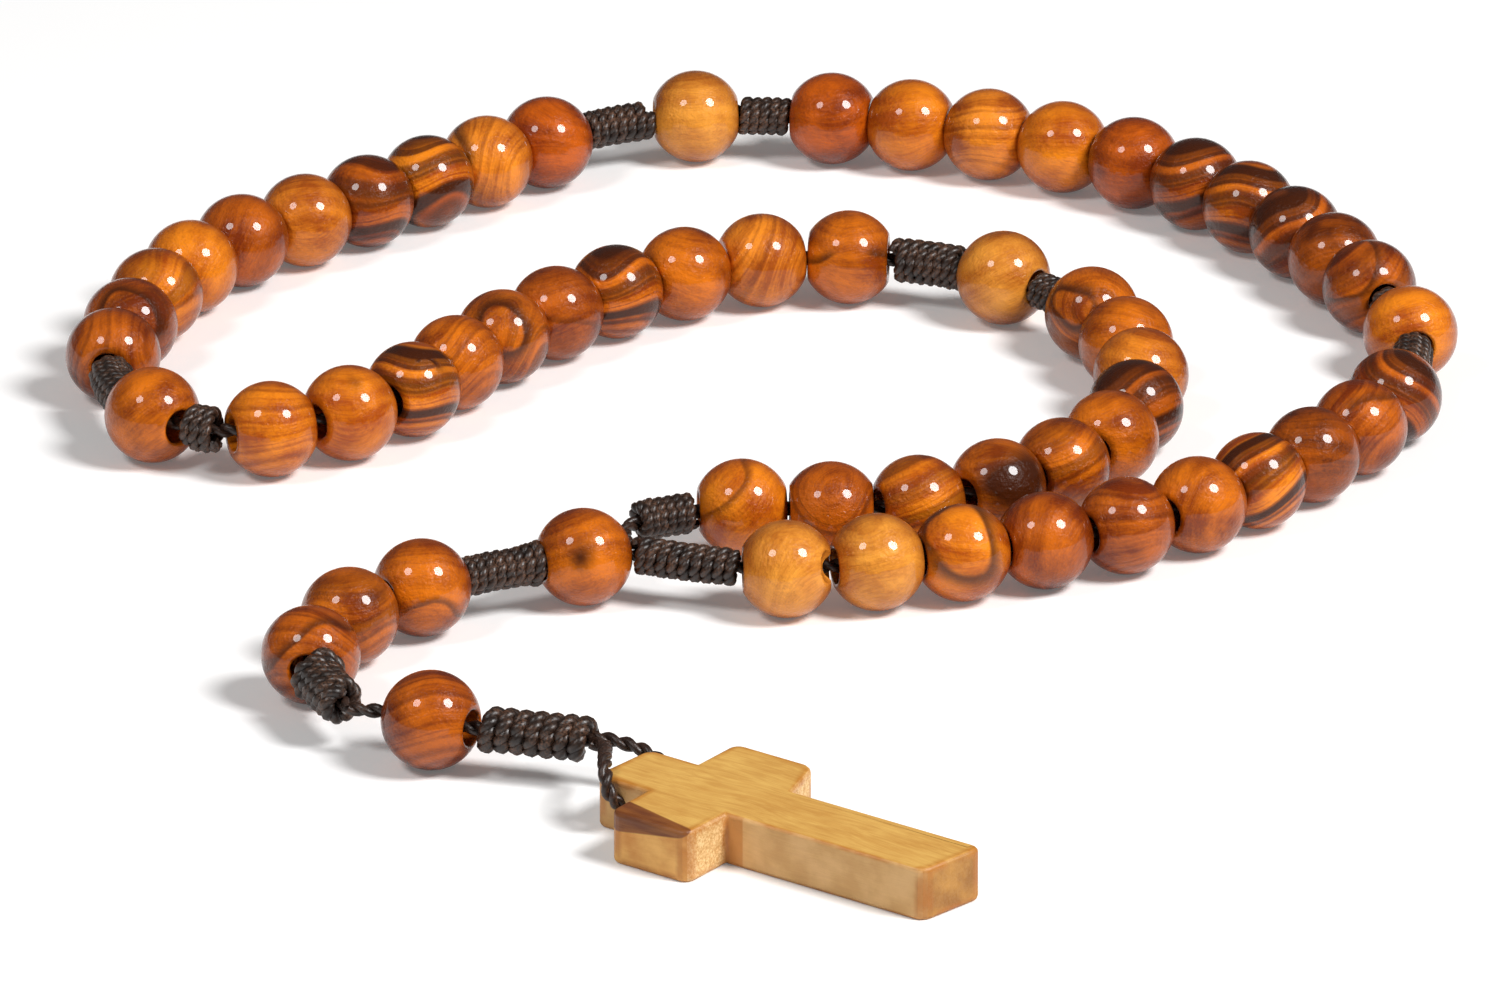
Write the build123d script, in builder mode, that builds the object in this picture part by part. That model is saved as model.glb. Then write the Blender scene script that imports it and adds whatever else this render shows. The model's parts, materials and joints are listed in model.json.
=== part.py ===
from build123d import *
from math import cos, radians, sin, sqrt, tan
import os

# A corded wooden rosary laid out on a table: a loop of five decades of beads, a pendant of
# five beads below the junction bead, and a flat cross on a loop of cord.
# Millimetres, +Z up, the table is Z = 0, and the loop lies away from the reader along +Y.

# ---- beads: turned balls with flattened ends and a rounded mouth at each end of the bore
bead_diameter = 8.0
bead_length = 6.7
bead_bore = 2.8
mouth_round = 0.25
beads_in_decade = 10
hail_mary_count = 3
hail_mary_gap = 0.9

# ---- cord, and the wrapped knots that part the groups of beads
cord_diameter = 1.2
knot_bore_clearance = 0.1
knot_end_gap = 0.2
knot_taper = 0.4
# each decade as (gap between its beads, (length, diameter) of the knot before it, and of the one after)
decades_strung = [
    (0.38, (9.0, 3.2), (7.1, 3.3)),
    (0.14, (3.7, 3.2), (4.6, 3.3)),
    (0.15, (7.2, 3.3), (6.7, 3.3)),
    (0.05, (2.7, 3.9), (6.6, 3.7)),
    (0.05, (3.6, 3.2), (5.5, 3.3)),
]
pendant_knot_1_size = (6.4, 3.1)
pendant_knot_2_size = (6.9, 3.5)
pendant_knot_3_size = (10.0, 3.8)

# ---- where the pendant flexes
flex_standoff = 0.6
flex_clearance = 0.1

# ---- cross: a plain board with a hole bored from side to side through its top arm
cross_thickness = 4.4
shaft_width = 6.6
crossbar_width = 7.6
top_arm_length = 5.2
lower_arm_length = 19.6
side_arm_reach = 5.0
cross_edge_round = 0.35
cross_bore_clearance = 0.1
cross_turn = -36.5
# the hand saw ran a little askew: how far the far end of each of these cuts is from the near end
top_cut_skew = 0.4
arm_cut_skew = 1.5
foot_cut_skew = 1.0

# ---- how the cross hangs on its loop of cord
loop_reach = 7.3
loop_side = 2.8
loop_stand_off = 0.3
board_clearance = 0.1
strand_gap = 0.1
# straight out of the long knot, and straight back into it
loop_exit_run = 1.2
loop_return_run = 1.0
# the near strand rises before it reaches the board
rise_before_board = 2.0
rise_to_far_side = 0.8
rise_over_board = 0.2
# it crests over the edge of the top arm
crest_before_board = 0.7
crest_to_near_side = 1.0
crest_lift = 0.1
# it drops past the arm's corner, and turns into the bore and out of it
drop_past_end = 1.7
bore_turn_stand_off = 0.1
bore_turn_run = 0.25
# the far strand goes back round the board's other side
return_before_board = 0.6
return_stand_off = 0.3
return_over_bore = 1.4

# ---- the cord's routes on the table, as drawn for these beads and knots
# every corner's arc takes this share of the shorter run beside it
arc_share = 0.45
# bare cord between the junction bead and the loop's first knot
first_bare_run = 0.5
# bare cord from the last knot back into the junction bead
loop_tail = 6.7
junction_centre = (-14.5, -19.5)
junction_turn = 20.0
loop_route = [
    (-17.7, -20.7),
    (-14.2, -19.95),
    (-10.65, -18.75),
    (-6.5, -20.6),
    (1.0, -22.5),
    (9.0, -20.7),
    (17.0, -18.5),
    (31.5, -12.5),
    (42.5, -1.5),
    (52.0, 12.0),
    (55.5, 28.0),
    (50.5, 43.0),
    (43.5, 57.0),
    (33.0, 69.5),
    (19.0, 77.0),
    (3.5, 81.0),
    (-11.5, 80.5),
    (-22.5, 70.9),
    (-34.5, 59.5),
    (-46.5, 49.5),
    (-52.5, 35.5),
    (-55.5, 17.0),
    (-45.5, 5.5),
    (-31.0, 13.0),
    (-22.5, 28.5),
    (-11.5, 40.5),
    (2.0, 48.0),
    (17.5, 45.5),
    (29.0, 34.0),
    (32.5, 18.0),
    (28.0, 2.5),
    (15.5, -7.5),
    (5.5, -9.8),
    (-1.5, -8.6),
    (-6.5, -10.2),
    (-10.6, -12.0),
    (-11.4, -14.8),
    (-10.85, -17.15),
    (-12.3, -18.0),
]
pendant_upper_route = [
    (-18.4, -20.9),
    (-23.5, -23.0),
    (-31.0, -28.5),
    (-36.0, -36.0),
    (-36.5, -44.0),
    (-32.9, -50.8),
]
pendant_link_route = [(-32.9, -50.8), (-31.5, -51.5), (-30.1, -51.4)]
pendant_lower_route = [
    (-30.1, -51.4),
    (-26.4, -53.3),
    (-22.4, -55.2),
    (-17.7, -56.2),
    (-13.1, -57.5),
]

# ---- sizes that follow
axis_height = bead_diameter / 2
cord_radius = cord_diameter / 2
# radius at which a bead's ball meets its flattened end
rim_radius = sqrt((bead_diameter / 2) ** 2 - (bead_length / 2) ** 2)
flex_gap = cord_radius + flex_clearance
# the first strand lies in the junction bead from mouth to mouth, and its knot starts just outside
loop_start_to_knot = bead_length + knot_end_gap + first_bare_run
up = Vector(0, 0, 1)
# rounds of correction that settle one bead against the next
settling_steps = 5
# this decade's ten beads are one node, and every other bead is a node of its own
grouped_decade = 3


# ================================================================ routes and places
def on_table(route):
    """The route's points at the height of the beads' centres."""
    return [Vector(x, y, axis_height) for x, y in route]


def spread(points, start, factor):
    """The same route from another start, drawn out or in to another length."""
    return [start + (point - points[0]) * factor for point in points]


def corner_radii(points):
    """Each arc's radius: a share of the shorter run beside it, over the tangent of half its turn."""
    radii = []
    for before, corner, after in zip(points, points[1:], points[2:]):
        run_in = corner - before
        run_out = after - corner
        half_turn = radians(run_in.get_angle(run_out)) / 2
        radii.append(arc_share * min(run_in.length, run_out.length) / tan(half_turn))
    return radii


def cord_line(points, radii=None):
    """Straight runs joined by tangent arcs."""
    with BuildLine() as line:
        FilletPolyline(*points, radius=radii or corner_radii(points))
    return line.wires()[0]


def across(line, distance):
    """The plane square to the cord at a distance along it, with Z along the cord."""
    spot = line.position_at(distance, position_mode=PositionMode.LENGTH)
    way = line.tangent_at(distance, position_mode=PositionMode.LENGTH)
    return Plane(origin=spot, x_dir=way.cross(up), z_dir=way)


def part_of(line, start, end):
    """The stretch of a line between two distances along it."""
    return line.trim(start / line.length, end / line.length)


def turn_between(line, here, there):
    """How far the cord turns from one distance to another, in radians."""
    return radians(across(line, here).z_dir.get_angle(across(line, there).z_dir))


def next_bead(line, here, gap):
    """The next bead's centre: far enough on for the two beads' rims to keep the gap on a bend."""
    there = here + bead_length
    for _ in range(settling_steps):
        planes = (across(line, here), across(line, there))
        chord = planes[1].origin - planes[0].origin
        leans = [radians(plane.z_dir.get_angle(chord)) for plane in planes]
        wanted = gap + sum(bead_length / 2 * cos(lean) + rim_radius * sin(lean) for lean in leans)
        there += wanted - chord.length
    return there


def string_beads(line, start, count, gap):
    """Distances along the line of a row of beads' centres, the first bead's end being at start."""
    centres = [start + bead_length / 2]
    while len(centres) < count:
        centres.append(next_bead(line, centres[-1], gap))
    return centres


def knot_gap(line, bead_centre, bead_end, knot_diameter):
    """Room between a bead's end and a knot, with more where the cord bends inside the bead."""
    return knot_end_gap + knot_diameter / 2 * sin(turn_between(line, bead_centre, bead_end))


def string_loop(line):
    """Walk round the loop: (decade beads' centres by decade, Our Father beads' centres, knots, end)."""
    decades, fathers, knots = [], [], []
    reach = loop_start_to_knot
    for gap, before, after in decades_strung:
        if fathers:
            reach += knot_gap(line, fathers[-1], reach, before[1])
        knots.append((reach, *before))
        reach += before[0]
        reach += knot_gap(line, reach + bead_length / 2, reach, before[1])
        decades.append(string_beads(line, reach, beads_in_decade, gap))
        reach = decades[-1][-1] + bead_length / 2
        reach += knot_gap(line, decades[-1][-1], reach, after[1])
        knots.append((reach, *after))
        reach += after[0]
        if len(decades) < len(decades_strung):
            reach += knot_gap(line, reach + bead_length / 2, reach, after[1])
            fathers.append(reach + bead_length / 2)
            reach += bead_length
    return decades, fathers, knots, reach


junction_axis = Vector(cos(radians(junction_turn)), sin(radians(junction_turn)), 0)
junction_plane = Plane(
    origin=(*junction_centre, axis_height), x_dir=junction_axis.cross(up), z_dir=junction_axis
)

drawn_loop = on_table(loop_route)
drawn_loop_line = cord_line(drawn_loop)
loop_factor = (string_loop(drawn_loop_line)[3] + loop_tail) / drawn_loop_line.length
loop_points = spread(drawn_loop, drawn_loop[0], loop_factor)
loop_line = cord_line(loop_points)
decade_centres, father_centres, loop_knot_places, loop_end = string_loop(loop_line)

# the pendant flexes just below the junction bead, and at both ends of its bare stretch
pendant_flex = junction_plane.origin - junction_axis * (bead_length / 2 + flex_standoff)
pendant_knot_1_start = flex_gap
hail_mary_start = pendant_knot_1_start + pendant_knot_1_size[0] + knot_end_gap


def string_pendant(line):
    """Hail Mary beads' centres, where the second knot starts, and where the bare link starts."""
    centres = string_beads(line, hail_mary_start, hail_mary_count, hail_mary_gap)
    end = centres[-1] + bead_length / 2
    knot_start = end + knot_gap(line, centres[-1], end, pendant_knot_2_size[1])
    return centres, knot_start, knot_start + pendant_knot_2_size[0] + flex_gap


drawn_upper = on_table(pendant_upper_route)
drawn_upper_line = cord_line(drawn_upper)
upper_factor = string_pendant(drawn_upper_line)[2] / drawn_upper_line.length
upper_points = spread(drawn_upper, pendant_flex, upper_factor)
upper_line = cord_line(upper_points)
hail_mary_centres, pendant_knot_2_start, upper_end = string_pendant(upper_line)

link_points = spread(on_table(pendant_link_route), upper_points[-1], 1)
link_line = cord_line(link_points)

father_start = flex_gap + flex_clearance
pendant_knot_3_start = father_start + bead_length + knot_end_gap
lower_length = pendant_knot_3_start + pendant_knot_3_size[0]
drawn_lower = on_table(pendant_lower_route)
lower_factor = lower_length / cord_line(drawn_lower).length
lower_points = spread(drawn_lower, link_points[-1], lower_factor)
lower_line = cord_line(lower_points)
fork = lower_points[-1]

# the cross lies flat, its own X along the shaft from the bore to the foot
cross_x = Vector(cos(radians(cross_turn)), sin(radians(cross_turn)), 0)
cross_y = up.cross(cross_x)
cross_origin = fork + cross_x * loop_reach - cross_y * loop_side
cross_plane = Plane(origin=(cross_origin.X, cross_origin.Y, 0), x_dir=cross_x, z_dir=up)
cross_bore = cord_diameter + 2 * cross_bore_clearance
bore_height = cross_thickness / 2
side = shaft_width / 2 + cord_radius + loop_stand_off
over_board = cross_thickness + cord_radius + board_clearance
arm_half = top_arm_length / 2

# the carrying loop: out of the long knot, over the corner of the top arm, through it and back
strand_offset = cord_radius + strand_gap / 2
knot_3_end = across(lower_line, lower_length)
loop_out = knot_3_end.from_local_coords((strand_offset, 0, 0))
loop_back = knot_3_end.from_local_coords((-strand_offset, 0, 0))
bore_turn = side + bore_turn_stand_off
cross_loop_points = [
    loop_out,
    knot_3_end.from_local_coords((strand_offset, 0, loop_exit_run)),
    cross_plane.from_local_coords(
        (-arm_half - rise_before_board, rise_to_far_side, cross_thickness + rise_over_board)
    ),
    cross_plane.from_local_coords(
        (-arm_half - crest_before_board, -crest_to_near_side, over_board + crest_lift)
    ),
    cross_plane.from_local_coords((-arm_half + drop_past_end, -side, over_board)),
    cross_plane.from_local_coords((0, -bore_turn, bore_height)),
    cross_plane.from_local_coords((0, bore_turn, bore_height)),
    cross_plane.from_local_coords(
        (-arm_half - return_before_board, side + return_stand_off, bore_height + return_over_bore)
    ),
    knot_3_end.from_local_coords((-strand_offset, 0, loop_return_run)),
    loop_back,
]
cross_loop_radii = corner_radii(cross_loop_points)
# at the two mouths of the bore the cord turns as tightly as the hole's edge makes it
for mouth in (5, 6):
    before, corner, after = cross_loop_points[mouth - 1 : mouth + 2]
    half_turn = radians((corner - before).get_angle(after - corner)) / 2
    mouth_tangent = bore_turn - shaft_width / 2 - bore_turn_run
    cross_loop_radii[mouth - 1] = mouth_tangent / tan(half_turn)
cross_loop_line = cord_line(cross_loop_points, cross_loop_radii)


# ================================================================ how each piece is made
def turned_bead(plane):
    """A ball cut flat at both ends, bored along the plane's Z, with its mouths rounded."""
    with BuildPart(plane) as bead:
        Sphere(radius=bead_diameter / 2)
        Cylinder(radius=bead_diameter / 2, height=bead_length, mode=Mode.INTERSECT)
        Cylinder(radius=bead_bore / 2, height=bead_length, mode=Mode.SUBTRACT)
        mouths = bead.edges().filter_by(GeomType.CIRCLE).group_by(SortBy.RADIUS)[0]
        fillet(mouths, radius=mouth_round)
    return bead


def wrapped_knot(line, start, length, diameter):
    """A sleeve along a stretch of the cord, clear of the cord inside it, with tapered ends."""
    end = start + length
    with BuildPart() as knot:
        with BuildSketch(across(line, start + knot_taper)):
            Circle(diameter / 2)
        sweep(path=part_of(line, start + knot_taper, end - knot_taper))
        for outer, inner in ((start, start + knot_taper), (end, end - knot_taper)):
            with BuildSketch(across(line, outer)):
                Circle(diameter / 2 - knot_taper)
            with BuildSketch(across(line, inner)):
                Circle(diameter / 2)
            loft()
        with BuildSketch(across(line, start)):
            Circle(cord_radius + knot_bore_clearance)
        sweep(path=part_of(line, start, end), mode=Mode.SUBTRACT)
    return knot


def cord_tube(line, start, end):
    """A plain round cord along a stretch of a line."""
    with BuildPart() as cord:
        with BuildSketch(across(line, start)):
            Circle(cord_radius)
        sweep(path=part_of(line, start, end))
    return cord


os.makedirs("parts", exist_ok=True)

# ================================================================ beads
bead_planes = {"junction_bead": junction_plane}
for number, centre in enumerate(hail_mary_centres, 1):
    bead_planes[f"hail_mary_bead_{number}"] = across(upper_line, centre)
bead_planes["pendant_our_father_bead"] = across(lower_line, father_start + bead_length / 2)
for number, centre in enumerate(father_centres, 1):
    bead_planes[f"our_father_bead_{number}"] = across(loop_line, centre)

grouped_planes = [across(loop_line, centre) for centre in decade_centres[grouped_decade - 1]]
for decade, centres in enumerate(decade_centres, 1):
    if decade == grouped_decade:
        continue
    for number, centre in enumerate(centres, 1):
        bead_planes[f"decade_{decade}_bead_{number}"] = across(loop_line, centre)

for name, plane in bead_planes.items():
    bead = turned_bead(plane)
    bead.part.label = name
    export_step(bead.part, f"parts/{name}.step")

grouped_beads = [turned_bead(plane).part for plane in grouped_planes]
with BuildPart() as decade_3_beads:
    add(grouped_beads)
decade_3_beads.part.label = "decade_3_beads"
export_step(decade_3_beads.part, "parts/decade_3_beads.step")

# ================================================================ knots
loop_knot_sleeves = [wrapped_knot(loop_line, *place).part for place in loop_knot_places]
with BuildPart() as loop_knots:
    add(loop_knot_sleeves)
loop_knots.part.label = "loop_knots"
export_step(loop_knots.part, "parts/loop_knots.step")

pendant_knot_places = [
    (upper_line, pendant_knot_1_start, *pendant_knot_1_size),
    (upper_line, pendant_knot_2_start, *pendant_knot_2_size),
    (lower_line, pendant_knot_3_start, *pendant_knot_3_size),
]
for number, place in enumerate(pendant_knot_places, 1):
    pendant_knot = wrapped_knot(*place)
    pendant_knot.part.label = f"pendant_knot_{number}"
    export_step(pendant_knot.part, f"parts/pendant_knot_{number}.step")

# ================================================================ cords
loop_cord = cord_tube(loop_line, 0, loop_line.length)
loop_cord.part.label = "loop_cord"
export_step(loop_cord.part, "parts/loop_cord.step")

# the upper and lower cords stop clear of the hinge points that the link reaches
pendant_cord_upper = cord_tube(upper_line, 0, upper_end - flex_gap)
pendant_cord_upper.part.label = "pendant_cord_upper"
export_step(pendant_cord_upper.part, "parts/pendant_cord_upper.step")

pendant_cord_lower = cord_tube(lower_line, flex_gap, lower_length)
pendant_cord_lower.part.label = "pendant_cord_lower"
export_step(pendant_cord_lower.part, "parts/pendant_cord_lower.step")

# the link's ends are balls about the two points it flexes on
with BuildPart() as pendant_link_cord:
    with BuildSketch(across(link_line, 0)):
        Circle(cord_radius)
    sweep(path=link_line)
    with Locations(link_points[0], link_points[-1]):
        Sphere(radius=cord_radius)
pendant_link_cord.part.label = "pendant_link_cord"
export_step(pendant_link_cord.part, "parts/pendant_link_cord.step")

cross_loop = cord_tube(cross_loop_line, 0, cross_loop_line.length)
cross_loop.part.label = "cross_loop"
export_step(cross_loop.part, "parts/cross_loop.step")

# ================================================================ cross
bar_start = -arm_half + top_arm_length
bar_end = bar_start + crossbar_width
foot = bar_end + lower_arm_length
shaft_side = shaft_width / 2
arm_end = shaft_side + side_arm_reach
cross_outline = [
    (-arm_half, -shaft_side),
    (bar_start, -shaft_side),
    (bar_start, -arm_end),
    (bar_end, -arm_end),
    (bar_end, -shaft_side),
    (foot - foot_cut_skew / 2, -shaft_side),
    (foot + foot_cut_skew / 2, shaft_side),
    (bar_end + arm_cut_skew, shaft_side),
    (bar_end, arm_end),
    (bar_start, arm_end),
    (bar_start, shaft_side),
    (-arm_half + top_cut_skew, shaft_side),
]
with BuildPart() as cross:
    with BuildSketch(cross_plane):
        with BuildLine():
            Polyline(*cross_outline, close=True)
        make_face()
    extrude(amount=cross_thickness)
    fillet(cross.edges(), radius=cross_edge_round)
    bore_mouth = Plane(
        origin=cross_plane.from_local_coords((0, shaft_side, bore_height)), z_dir=-cross_y
    )
    with BuildSketch(bore_mouth):
        Circle(cross_bore / 2)
    extrude(amount=shaft_width, mode=Mode.SUBTRACT)
cross.part.label = "cross"
export_step(cross.part, "parts/cross.step")

# ================================================================ what was made
routes = {
    "loop": (loop_points, corner_radii(loop_points), loop_cord, loop_line.length),
    "pendant upper": (
        upper_points,
        corner_radii(upper_points),
        pendant_cord_upper,
        upper_end - flex_gap,
    ),
    "pendant lower": (
        lower_points,
        corner_radii(lower_points),
        pendant_cord_lower,
        lower_length - flex_gap,
    ),
    "cross loop": (cross_loop_points, cross_loop_radii, cross_loop, cross_loop_line.length),
}
section = radians(180) * cord_radius**2
for name, (points, radii, cord, length) in routes.items():
    print(name, "radii", [round(radius, 1) for radius in radii])
    print(f"  length {length:.1f}, volume {cord.part.volume:.1f}, section x length {section * length:.1f}")
print(f"loop drawn out by {loop_factor:.4f}, pendant by {upper_factor:.4f} and {lower_factor:.4f}")
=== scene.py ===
# %% [markdown]
# # A corded wooden rosary
# Fifty-nine turned olive-wood beads on a waxed two-ply cord, parted into groups by wrapped knots,
# with a plain sawn cross on a loop of the same cord. Everything is in metres, and the table is at
# height 0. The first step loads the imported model. Its solids give every place used below, and each
# detailed piece takes the place of the plain solid it stands for.

# %% Load the frame
import json
from math import acos, atan2, ceil, cos, pi, radians, sin, tan

import bmesh
import bpy
import numpy as np
from mathutils import Matrix, Vector, noise


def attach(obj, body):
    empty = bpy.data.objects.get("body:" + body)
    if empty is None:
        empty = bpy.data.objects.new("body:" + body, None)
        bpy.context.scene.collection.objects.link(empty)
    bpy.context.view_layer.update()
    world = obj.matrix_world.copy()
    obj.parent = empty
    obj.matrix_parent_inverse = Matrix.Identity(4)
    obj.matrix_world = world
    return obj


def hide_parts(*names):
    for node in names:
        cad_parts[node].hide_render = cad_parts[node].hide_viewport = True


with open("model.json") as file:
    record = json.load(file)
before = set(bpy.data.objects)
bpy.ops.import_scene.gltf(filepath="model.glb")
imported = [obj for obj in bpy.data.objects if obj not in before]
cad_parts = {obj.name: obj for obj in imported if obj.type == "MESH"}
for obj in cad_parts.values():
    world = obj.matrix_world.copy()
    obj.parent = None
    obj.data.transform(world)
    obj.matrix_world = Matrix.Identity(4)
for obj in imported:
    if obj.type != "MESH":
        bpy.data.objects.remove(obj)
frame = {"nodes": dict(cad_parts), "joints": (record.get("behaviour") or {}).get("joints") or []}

scene = bpy.context.scene
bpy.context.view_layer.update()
mm = 0.001
up = Vector((0, 0, 1))
joints = {joint["name"]: joint for joint in frame["joints"]}
print("solids loaded:", len(frame["nodes"]), "joints:", len(joints))

# %% [markdown]
# ## Camera
# The rosary lies on the table and is looked down on at a low angle from a good way off, so the near
# and far beads come out nearly the same size. A long lens does that. The camera comes first because
# everything made later is judged through it.

# %% Camera
def placed(name, data):
    """An object in the scene, made from its data."""
    made = bpy.data.objects.new(name, data)
    scene.collection.objects.link(made)
    return made


# degrees away from looking straight down
camera_tilt = 67.73
camera_data = bpy.data.cameras.new("camera")
camera_data.sensor_width = 36
camera_data.lens = 377.1
camera_data.clip_end = 20
camera = placed("camera", camera_data)
camera.location = (-1.0 * mm, -1196.8 * mm, 491.1 * mm)
camera.rotation_euler = (radians(camera_tilt), 0, 0)
scene.camera = camera
toward_viewer = camera.location.normalized()
print("camera looks down by", round(90 - camera_tilt, 2), "degrees")

# %% [markdown]
# ## The cord's routes
# A cord is first of all a line. These are the corners of each stretch of cord, in millimetres on the
# table. A NURBS curve of order 3 runs smoothly past them and touches its two ends. Curves could also be
# drawn with Bezier handles, but then every handle has to be set by hand, and a cord that only has to
# wander gains nothing from them. The order and the end rule are set after the points are in,
# because Blender clamps them to the number of points there are.

# %% Routes as corners
bead_height = 4.0
loop_route = [
    (-17.7, -20.7), (-14.2, -19.95), (-10.65, -18.75), (-6.5, -20.6), (1.0, -22.5),
    (9.0, -20.7), (17.0, -18.5), (31.5, -12.5), (42.5, -1.5), (52.0, 12.0),
    (55.5, 28.0), (50.5, 43.0), (43.5, 57.0), (33.0, 69.5), (19.0, 77.0),
    (3.5, 81.0), (-11.5, 80.5), (-22.5, 70.9), (-34.5, 59.5), (-46.5, 49.5),
    (-52.5, 35.5), (-55.5, 17.0), (-45.5, 5.5), (-31.0, 13.0), (-22.5, 28.5),
    (-11.5, 40.5), (2.0, 48.0), (17.5, 45.5), (29.0, 34.0), (32.5, 18.0),
    (28.0, 2.5), (15.5, -7.5), (5.5, -9.8), (-1.5, -8.6), (-6.5, -10.2),
    (-10.6, -12.0), (-11.4, -14.8), (-10.85, -17.15), (-12.3, -18.0),
]
pendant_upper_route = [
    (-18.4, -20.9), (-23.5, -23.0), (-31.0, -28.5), (-36.0, -36.0), (-36.5, -44.0), (-32.9, -50.8),
]
pendant_link_route = [(-32.9, -50.8), (-31.5, -51.5), (-30.1, -51.4)]
pendant_lower_route = [
    (-30.1, -51.4), (-26.4, -53.3), (-22.4, -55.2), (-17.7, -56.2), (-13.1, -57.5),
]


def joint_place(name):
    """Where a joint sits, in metres."""
    return Vector(joints[name]["pos_m"])


def stretched(route, factor, start=None):
    """The corners in metres at bead height, drawn out by a factor from their start."""
    corners = [Vector((x, y, bead_height)) * mm for x, y in route]
    first = corners[0]
    start = first if start is None else start
    return [start + (corner - first) * factor for corner in corners]


# the solids' cords are drawn out by the same factors, so that the beads and knots just fill them
routes = {
    "loop": stretched(loop_route, 1.0008),
    "upper": stretched(pendant_upper_route, 1.0013, joint_place("pendant_swing")),
    "link": stretched(pendant_link_route, 1.0, joint_place("link_swing")),
    "lower": stretched(pendant_lower_route, 0.975, joint_place("lower_lift")),
}
for name, corners in routes.items():
    print(name, "corners:", len(corners))

# %% [markdown]
# ## From corners to a line that can be measured
# A curve with no bevel turns into a mesh that is only a string of points along its middle. Those points
# are what every strand, wrap and knot below follows, so that all of them lie on one and the same line.
# The small class keeps the points with their distance from the start, and gives the place and the
# cross directions of the cord at any distance. These are carried along from point to point, so they
# never flip over at a bend.

# %% A measured line
class Line:
    """Points along a cord, with the place and the cross directions at any distance."""

    def __init__(self, points):
        self.points = np.array([tuple(point) for point in points], float)
        steps = np.linalg.norm(np.diff(self.points, axis=0), axis=1)
        keep = np.concatenate([[True], steps > 1e-9])
        self.points = self.points[keep]
        steps = np.linalg.norm(np.diff(self.points, axis=0), axis=1)
        self.distances = np.concatenate([[0], np.cumsum(steps)])
        self.length = float(self.distances[-1])
        ways = np.gradient(self.points, self.distances, axis=0)
        self.ways = ways / np.linalg.norm(ways, axis=1)[:, None]
        side = np.cross(self.ways[0], tuple(up))
        sides = []
        for way in self.ways:
            side = side - way * np.dot(side, way)
            side = side / np.linalg.norm(side)
            sides.append(side)
        self.sides = np.array(sides)

    def _between(self, table, distance):
        return np.array([np.interp(distance, self.distances, table[:, k]) for k in range(3)])

    def place(self, distance):
        return self._between(self.points, distance)

    def cross(self, distance):
        """Two unit directions square to the cord."""
        way = self._between(self.ways, distance)
        way = way / np.linalg.norm(way)
        side = self._between(self.sides, distance)
        side = side - way * np.dot(side, way)
        side = side / np.linalg.norm(side)
        return side, np.cross(way, side)

    def nearest(self, point, around=None, reach=8 * mm):
        """Distance along the line of its point nearest to this one, and how far off that is.

        Near the junction two stretches of the loop lie side by side, so the search can be kept
        within reach of a known distance.
        """
        gaps = np.linalg.norm(self.points - np.array(tuple(point)), axis=1)
        if around is not None:
            gaps[np.abs(self.distances - around) > reach] = np.inf
        best = int(gaps.argmin())
        return float(self.distances[best]), float(gaps[best])


def mesh_of_curve(name, data):
    """A curve turned into a mesh, with the curve itself taken away."""
    holder = placed(name, data)
    mesh = bpy.data.meshes.new_from_object(holder)
    bpy.data.objects.remove(holder)
    bpy.data.curves.remove(data)
    return mesh


def smooth_line(name, corners):
    """A NURBS line past the corners, read back as points."""
    data = bpy.data.curves.new(name, "CURVE")
    data.dimensions = "3D"
    data.resolution_u = 40
    spline = data.splines.new("NURBS")
    spline.points.add(len(corners) - 1)
    for point, corner in zip(spline.points, corners):
        point.co = (*corner, 1)
    spline.order_u = 3
    spline.use_endpoint_u = True
    mesh = mesh_of_curve(name, data)
    line = Line([vertex.co for vertex in mesh.vertices])
    bpy.data.meshes.remove(mesh)
    return line


lines = {name: smooth_line(name, corners) for name, corners in routes.items()}
for name, line in lines.items():
    print(name, "line is", round(line.length / mm, 1), "mm long")

# %% [markdown]
# ## The cross's own frame, and the loop of cord through it
# The cross hangs on a short loop of cord that goes through a hole bored from side to side through its
# top arm. The joint that lets the cross swing sits in the middle of that hole and points along it, so it
# gives the cross's own frame: X along the shaft to the foot, Y across to the far side. The loop's
# corners are written in that frame, because the loop belongs to the board it goes round.

# %% Cross frame
bore = Vector(joints["cross_swing"]["axis"])
cross_across = -bore if bore.y < 0 else bore
cross_along = cross_across.cross(up)
bore_middle = joint_place("cross_swing")
cross_frame = Matrix.Identity(4)
for column, direction in enumerate((cross_along, cross_across, up)):
    cross_frame.col[column] = (*direction, 0)
cross_frame.col[3] = (bore_middle.x, bore_middle.y, 0, 1)
from_cross = cross_frame.inverted()
print("shaft points", round(np.degrees(atan2(cross_along.y, cross_along.x)), 1), "degrees")


def solid_points(node):
    """Every corner of a CAD node's mesh."""
    return [vertex.co.copy() for vertex in frame["nodes"][node].data.vertices]


cross_corners = np.array([tuple(from_cross @ point) for point in solid_points("cross")]) / mm
board_low, board_high = cross_corners.min(0), cross_corners.max(0)
board_thickness = board_high[2]
# this far down from the bore there is only the shaft, and this far out from the shaft only the bar
past_bar, past_shaft = 15, 2
shaft_side = cross_corners[cross_corners[:, 0] > past_bar][:, 1].max()
bar_points = cross_corners[np.abs(cross_corners[:, 1]) > shaft_side + past_shaft]
bar_start, bar_end = bar_points[:, 0].min(), bar_points[:, 0].max()
print("board", np.round(board_low, 2), np.round(board_high, 2))
print("shaft half width", round(shaft_side, 2))
print("bar from", round(bar_start, 2), "to", round(bar_end, 2))

# %% [markdown]
# The two strands leave the long knot side by side. The near one climbs over the corner of the top arm,
# drops past its edge and turns into the bore. It comes out on the far side and goes back round the
# end of the arm. Where a strand enters the wood it turns sharply, as the edge of a hole makes it.

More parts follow.
